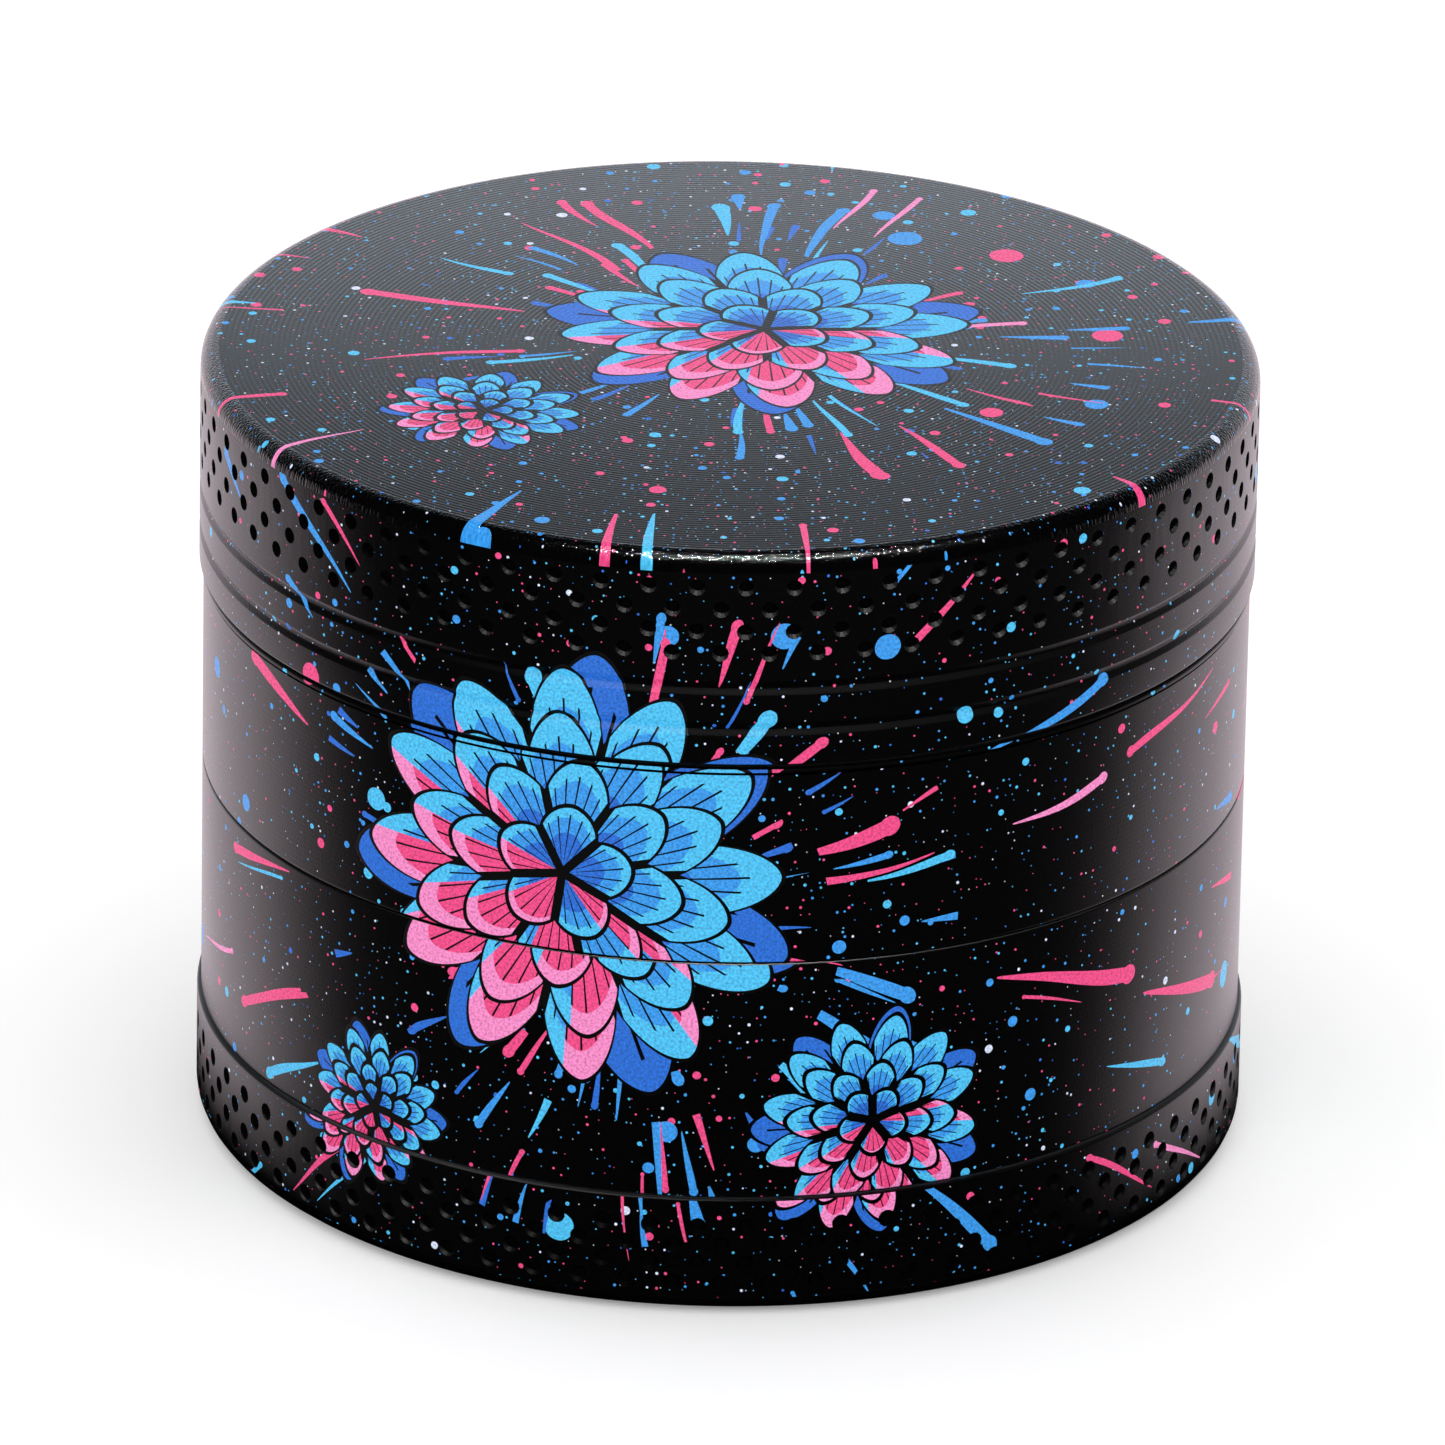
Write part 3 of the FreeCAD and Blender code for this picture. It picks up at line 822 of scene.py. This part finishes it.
def makeChamber():
    low, shoulder, edge = drum["chamberZ"], drum["shoulderZ"], drum["edgeBreak"]
    barrel, floor, top = drum["barrelRadius"], chamber["floorZ"], chamberHigh.z
    grooveWidth, grooveDepth = chamber["beadGroove"]
    bead, beadZ = barrel + chamber["beadStep"], shoulder - chamber["beadHeight"]
    groove, grooveZ = barrel - grooveDepth, beadZ - grooveWidth
    magnetLow, magnetHigh = nodeBox("chamber_magnet")
    spigot, spigotRound = chamber["spigotRadius"], chamber["spigotRound"]
    cavity = spigot - chamber["spigotWall"]
    post, pocket, fillet = chamber["postRadius"], chamber["pocketRadius"], chamber["floorFillet"]
    under = floor - chamber["floorThickness"]
    piece = turnedMesh("grindingChamber", [
        *collarCorners(low), (barrel, low, edge), (barrel, grooveZ), (groove, grooveZ), (groove, beadZ),
        (bead, beadZ), (bead, shoulder, edge), (spigot, shoulder), (spigot, top, spigotRound),
        (cavity, top, spigotRound), (cavity, floor, fillet), (post, floor, fillet),
        (post, magnetHigh.z, edge), (pocket, magnetHigh.z), (pocket, magnetLow.z), (0, magnetLow.z),
        (0, under), (boreRadius, under, chamber["underFillet"]),
        (boreRadius, low - collarLength, thread["collarRound"])])
    holeRings = [(radius, count, math.pi / count) for radius, count in chamber["teeth"]]
    holeRings += [(radius, count, 0) for radius, count in chamber["holesBetween"]]
    for radius, count, start in holeRings:
        addTree(piece, cutHoles, {
            "Count": count, "Sides": chamber["holeSides"], "Ring radius": radius * mm,
            "Low": (under - chamber["cutterOver"]) * mm,
            "Length": (chamber["floorThickness"] + 2 * chamber["cutterOver"]) * mm,
            "Half width": 1.0, "Half length": 1.0,
            "Low share": chamber["holeRadius"] * mm, "High share": chamber["holeRadius"] * mm,
            "Start turn": start, "Finish": coat})
    tipZ = top - chamber["toothDrop"]
    growTeeth(piece, chamber["teeth"], floor - tooth["root"], tipZ, (1, tooth["tip"]), 0)
    bakeTrees(piece)
    printSkin(piece, barrel, low + skin["seam"], shoulder, chamber["printShift"])
    finishPiece(piece, "chamber", "grinding_chamber")


# Sieve ring: threads at both ends and a ledge that carries the screen
sieve = {"ledgeRadius": boreRadius - 2.0, "ledgeThickness": 1.6, "printShift": -0.35}


def makeSieveRing():
    low, high, edge = drum["sieveZ"], drum["chamberZ"], drum["edgeBreak"]
    barrel, ledge, ledgeRadius = drum["barrelRadius"], screenLow.z, sieve["ledgeRadius"]
    ledgeUnder = ledge - sieve["ledgeThickness"]
    piece = turnedMesh("sieveRing", [
        *collarCorners(low), (barrel, low, edge), (barrel, high, edge), *socketCorners(high),
        (boreRadius, ledge), (ledgeRadius, ledge), (ledgeRadius, ledgeUnder), (boreRadius, ledgeUnder),
        (boreRadius, low - collarLength, thread["collarRound"])])
    printSkin(piece, barrel, low + skin["seam"], high, sieve["printShift"])
    finishPiece(piece, "sieve", "sieve_ring")


# Catcher: shallow bowl with a thread in its rim and a dimpled grip band of its own
catcher = {
    "round": 1.4,
    "floor": 1.6,
    "bowlCorner": 1.5,
    "dentsPerRow": 70, "dentRows": 4,
    "topRow": 5.67, "rowPitch": 1.22,
    "firstTurn": 3.3,  # degrees
    "dentRadius": 0.55, "dentDepth": 0.3,
    "printLow": 1.15,  # the print ends over the bottom rounding
    "printShift": 0.8,
}


def makeCatcher():
    high, outer, floor = drum["sieveZ"], drum["baseRadius"], catcher["floor"]
    piece = turnedMesh("catcherBowl", [
        (0, 0), (outer, 0, catcher["round"]), (outer, high, drum["edgeBreak"]), *socketCorners(high),
        (boreRadius, floor, catcher["bowlCorner"]), (0, floor)])
    punchDents(piece, catcher, outer)
    bakeTrees(piece)
    printSkin(piece, outer, catcher["printLow"], high, catcher["printShift"])
    finishPiece(piece, "catcher", "catcher")


# Rings and magnets, all turned alike; a magnet is a disc, with no wall
slipRing = {"wall": 0.8, "lowRound": 0.15, "highRound": 0.15, "finish": acetal}
clampRing = {"wall": 1.7, "lowRound": 0, "highRound": 0.2, "finish": turnedSteel}
magnet = {"wall": None, "lowRound": 0.2, "highRound": 0.2, "finish": nickel}


def makeSmallTurned(name, look, body, node):
    low, high = nodeBox(node)
    lowCorner, highCorner = (high.x, low.z, look["lowRound"]), (high.x, high.z, look["highRound"])
    if look["wall"]:
        bore = high.x - look["wall"]
        corners = [(bore, *lowCorner[1:]), lowCorner, highCorner, (bore, *highCorner[1:])]
    else:
        corners = [(0, low.z), lowCorner, highCorner, (0, high.z)]
    piece = turnedMesh(name, corners)
    piece.data.materials.append(look["finish"])
    finishPiece(piece, body, node)


# Screen: plain-woven wire cloth, drawn coarser than a real one so that the weave shows
screen = {
    "pitch": 0.9,
    "wire": 0.14, "wireSides": 4,
    "reach": 29,  # wires each side of the middle
    "sharpAngle": 60,
}


def clothTree():
    tree, add, size = newTree("wovenCloth", ("Wires", "Points"), (
        "Pitch", "Wire radius", "Radius", "Height"))
    lineStart = add(joinNode, {1: add(times, size["Radius"], -1.0)})
    lineEnd = add(joinNode, {1: size["Radius"]})
    line = add("GeometryNodeCurvePrimitiveLine", {"Start": lineStart, "End": lineEnd})
    fine = add("GeometryNodeResampleCurve", {"Curve": line, "Count": size["Points"]})
    index = add("GeometryNodeInputIndex")
    centred = add(minus, add(times, index, size["Pitch"]), size["Radius"])
    points = add("GeometryNodePoints", {"Count": size["Wires"], "Position": add(joinNode, centred)})
    warp = add(realNode, add(copyNode, {"Points": points, "Instance": fine}))
    place = add("GeometryNodeInputPosition")
    parts = add(splitNode, place).outputs
    share = add(over, add(plus, parts[0], parts[1]), size["Pitch"])
    wave = add(cosine, add(times, share, math.pi))
    lift = add(joinNode, {2: add(times, wave, size["Wire radius"])})
    crimped = add("GeometryNodeSetPosition", {"Geometry": warp, "Offset": lift})
    outside = add(isOver, add(vectorLength, place), size["Radius"])
    disc = add("GeometryNodeDeleteGeometry", {"Geometry": crimped, "Selection": outside}, domain="POINT")
    weft = add(shiftNode, {
        "Geometry": disc, "Rotation": (0, 0, math.pi / 2), "Scale": (1, 1, -1)})
    cloth = add("GeometryNodeJoinGeometry")
    tree.links.new(weft.outputs[0], cloth.inputs[0])
    tree.links.new(disc.outputs[0], cloth.inputs[0])
    profile = add("GeometryNodeCurvePrimitiveCircle", {
        "Resolution": screen["wireSides"], "Radius": size["Wire radius"]})
    wires = add("GeometryNodeCurveToMesh", {"Curve": cloth, "Profile Curve": profile, "Fill Caps": True})
    placed = add(shiftNode, {"Geometry": wires, "Translation": add(joinNode, {2: size["Height"]})})
    return endTree(tree, placed, size["Finish"])


def makeScreen():
    piece = addObject("wireScreen", bpy.data.meshes.new("wireScreen"))
    addTree(piece, clothTree(), {
        "Wires": 2 * screen["reach"] + 1, "Points": 4 * screen["reach"] + 1, "Pitch": screen["pitch"] * mm,
        "Wire radius": screen["wire"] / 2 * mm, "Radius": screen["reach"] * screen["pitch"] * mm,
        "Height": (screenLow.z + screenHigh.z) / 2 * mm, "Finish": drawnSteel})
    bakeTrees(piece)
    finishPiece(piece, "sieve", "screen", screen["sharpAngle"])


# Scraper: three-cornered pick with rounded corners and a bevelled upper edge
scraper = {
    "place": (4.0, -3.0),
    "reach": 12.0, "corner": 3.0,
    "bevel": 0.3, "lowBevel": 0.1,
    "turn": 20.0,  # degrees
    "arcSteps": 10,
}


def scraperOutline(inset):
    # inset 0 is the full outline; corners keep their centres
    x, y = scraper["place"]
    arm = scraper["reach"] - 2 * scraper["corner"]
    r = scraper["corner"] - inset
    points = []
    for turn in [math.radians(scraper["turn"] + 120 * i) for i in range(3)]:
        for k in range(scraper["arcSteps"] + 1):
            swing = turn + math.radians(120 * k / scraper["arcSteps"] - 60)
            points.append((x + arm * math.cos(turn) + r * math.cos(swing),
                           y + arm * math.sin(turn) + r * math.sin(swing)))
    return points


def makeScraper():
    low, high = nodeBox("scraper")
    bevel, lowBevel = scraper["bevel"], scraper["lowBevel"]
    form = bmesh.new()
    rings = []
    for inset, z in ((lowBevel, low.z), (0, low.z + lowBevel), (0, high.z - bevel), (bevel, high.z)):
        rings.append([form.verts.new((x * mm, y * mm, z * mm)) for x, y in scraperOutline(inset)])
    for below, above in zip(rings, rings[1:]):
        for k in range(len(below)):
            after = (k + 1) % len(below)
            form.faces.new([below[k], below[after], above[after], above[k]])
    form.faces.new(rings[0])
    form.faces.new(rings[-1])
    bmesh.ops.recalc_face_normals(form, faces=form.faces)
    piece = addForm("scraperPick", form)
    piece.data.materials.append(moulded)
    finishPiece(piece, "scraper", "scraper")


makeLid()
makeChamber()
makeSieveRing()
makeCatcher()
makeSmallTurned("slipRing", slipRing, "slip_ring", "slip_ring")
makeSmallTurned("clampRing", clampRing, "clamp_ring", "screen_clamp_ring")
makeSmallTurned("lidMagnet", magnet, "lid", "lid_magnet")
makeSmallTurned("chamberMagnet", magnet, "chamber_core", "chamber_magnet")
makeScreen()
makeScraper()
print("stage: pieces ready")

# Studio: a white sweep behind, a dark front so that the coat stays black, one strip lamp for the lid's edge
studio = {
    "floorColor": "#F4F4F4",
    "floorSize": 6.0,
    "floorZ": -0.00003,  # just clear of the underside
    "floorGlow": 0.2,  # lifts the floor to white for the camera alone
    "diffuseLevel": 1.1,
    "sweepLevel": (1.28, 1.55),  # below and above the horizon
    "rear": (-0.05, 0.6),  # direction along +Y over which the white sweep begins, for reflections
    "sky": (0.15, 0.68),  # height of direction over which it ends
    "horizon": (-0.05, 0.1),  # height of direction over which it narrows
    "narrowing": 0.45,
    "lowTint": "#FFF0F8",  # reflected light from below the horizon, and from above it
    "highTint": "#E6F0FC",
    "paintedShadowRing": (0.033, 0.041),  # metres from the axis: the ring of floor painted black in reflections, a painted shadow of the drum
    "stripPlace": (0.05, -0.16, 0.44),
    "stripSize": (0.3, 0.014),
    "stripSpread": 2.0,  # degrees: a grid keeps its beam on the lid's front edge
    "stripAim": (0.012, -0.0285),
    "stripPower": 0.065,
}


def makeFloor():
    form = bmesh.new()
    half = studio["floorSize"] / 2
    corners = ((-1, -1), (1, -1), (1, 1), (-1, 1))
    form.faces.new([form.verts.new((x * half, y * half, studio["floorZ"])) for x, y in corners])
    floor = addForm("paleFloor", form)
    finish, add = newFinish("paleSweepPaper")  # matt white paper, seen as white by the camera
    finish.node_tree.nodes.clear()
    paper = add("ShaderNodeBsdfDiffuse", {"Color": linearColor(studio["floorColor"])})
    path = add("ShaderNodeLightPath").outputs
    place = add("ShaderNodeTexCoord").outputs["Object"]
    beyondPaintedShadow = add(rangeNode, add(vectorLength, place), *studio["paintedShadowRing"])
    glow = add(times, path["Is Camera Ray"], studio["floorGlow"])
    seen = add("ShaderNodeAddShader", paper, add("ShaderNodeEmission", {"Strength": glow}))
    # in reflections the floor round the foot is painted black, a painted shadow of the drum; farther out the
    # floor lets the world through
    paintedFootShadow = add("ShaderNodeBsdfDiffuse", {"Color": (0, 0, 0, 1)})
    mirrored = add("ShaderNodeMixShader", beyondPaintedShadow, paintedFootShadow, add("ShaderNodeBsdfTransparent"))
    mixed = add("ShaderNodeMixShader", path["Is Glossy Ray"], seen, mirrored)
    add("ShaderNodeOutputMaterial", mixed)
    floor.data.materials.append(finish)


def makeWorld():
    world = bpy.data.worlds.new("whiteStudio")
    bpy.context.scene.world = world
    world.use_nodes = True
    world.node_tree.nodes.clear()
    add = partial(addNode, world.node_tree)
    path = add("ShaderNodeLightPath").outputs
    direction = add("ShaderNodeTexCoord").outputs["Object"]
    parts = add(splitNode, direction).outputs
    above = add(smoothRange, parts[2], *studio["horizon"])
    rear = add(smoothRange, add(timesPlus, above, -studio["narrowing"], parts[1]), *studio["rear"])
    even = add(times, rear, add(smoothRange, parts[2], *studio["sky"], 1.0, 0.0))
    sweep = add(times, even, add(rangeNode, above, 0.0, 1.0, *studio["sweepLevel"]))
    plain = add(times, path["Is Diffuse Ray"], studio["diffuseLevel"])
    light = add(plus, plain, add(times, path["Is Glossy Ray"], sweep))
    level = add(largerOf, light, add(largerOf, path["Is Camera Ray"], path["Is Transmission Ray"]))
    lowTint, highTint = linearColor(studio["lowTint"]), linearColor(studio["highTint"])
    tint = add(colorMix, above, lowTint, highTint)
    shade = add(colorMix, path["Is Glossy Ray"], (1, 1, 1, 1), tint)
    backdrop = add("ShaderNodeBackground", {"Color": shade, "Strength": level})
    add("ShaderNodeOutputWorld", backdrop)


def makeStrip():
    lamp = bpy.data.lights.new("edgeStrip", "AREA")
    lamp.shape = "RECTANGLE"
    lamp.size, lamp.size_y = studio["stripSize"]
    lamp.energy = studio["stripPower"]
    lamp.spread = math.radians(studio["stripSpread"])
    holder = addObject("edgeStrip", lamp)
    holder.location = studio["stripPlace"]
    holder.visible_diffuse = False  # only its reflection is wanted
    aim = Vector((*studio["stripAim"], drum["topZ"] * mm)) - holder.location
    holder.rotation_euler = aim.to_track_quat("-Z", "Y").to_euler()


# Camera: a long lens looking slightly down, as fitted to the photograph's edge rings
viewpoint = {
    "lens": 438.75, "sensor": 36,
    "nearest": 0.01,
    "distance": 1.0558,
    "elevation": 23.4,  # degrees, as is the roll
    "roll": 1.054,
    "target": (-0.000096, 0, 0.02432),
}


def makeCamera():
    camera = bpy.data.cameras.new("photoCamera")
    camera.lens = viewpoint["lens"]
    camera.sensor_width = viewpoint["sensor"]
    camera.clip_start = viewpoint["nearest"]
    holder = addObject("photoCamera", camera)
    rise = math.radians(viewpoint["elevation"])
    away = Vector((0, -math.cos(rise), math.sin(rise)))
    holder.location = Vector(viewpoint["target"]) + away * viewpoint["distance"]
    aimed = (-away).to_track_quat("-Z", "Y") @ Quaternion((0, 0, 1), math.radians(viewpoint["roll"]))
    holder.rotation_euler = aimed.to_euler()
    bpy.context.scene.camera = holder


makeFloor()
makeWorld()
makeStrip()
makeCamera()
bpy.context.scene.view_settings.view_transform = "Standard"
print("stage: studio ready")

bpy.context.view_layer.update()
